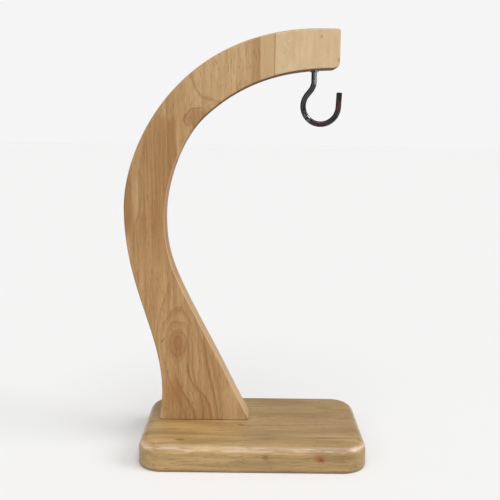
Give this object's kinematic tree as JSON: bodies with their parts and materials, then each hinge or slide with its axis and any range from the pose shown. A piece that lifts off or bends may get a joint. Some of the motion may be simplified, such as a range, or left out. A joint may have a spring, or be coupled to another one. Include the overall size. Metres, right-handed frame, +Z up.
{
  "type": "hanger stand",
  "caption": "Wooden table stand: a curved flat arm on a rounded rectangular base, with a round screw hook under the tip for hanging a cup or fruit.",
  "frame": {"origin": "centre of the base's flat underside", "axes": "+Z up, +X from the foot of the arm towards the hook, -Y towards the front"},
  "size_m": [0.184, 0.105, 0.3205],
  "materials": {
    "base_wood": "satin varnish over straight grain",
    "arm_wood": "smooth sanded, thin clear coat",
    "tip_wood": "smooth sanded, thin clear coat, paler board",
    "hook_steel": "worn dark steel wire, brighter on the threads, touches of rust",
    "collar_steel": "dull dark steel",
    "screw_steel": "bright zinc plate"
  },
  "bodies": {
    "stand": {"base": "base_wood", "arm_board": "arm_wood", "arm_tip_block": "tip_wood", "arm_screw_left": "screw_steel", "arm_screw_right": "screw_steel"},
    "collar": {"hook_collar": "collar_steel"},
    "hook": {"hook": "hook_steel"}
  },
  "joints": [
    {"name": "hook_travel", "type": "slide", "parent": "stand", "child": "collar", "axis": [0, 0, -1], "range_m": [0, 0.0064]},
    {"name": "hook_turn", "type": "hinge", "parent": "collar", "child": "hook", "pos_m": [0.043, 0.0053, 0.2921], "axis": [0, 0, -1], "range_deg": [0, 1260]}
  ],
  "couplings": [
    {"joint": "hook_travel", "follows": "hook_turn", "m_per_rad": 0.00028648}
  ]
}
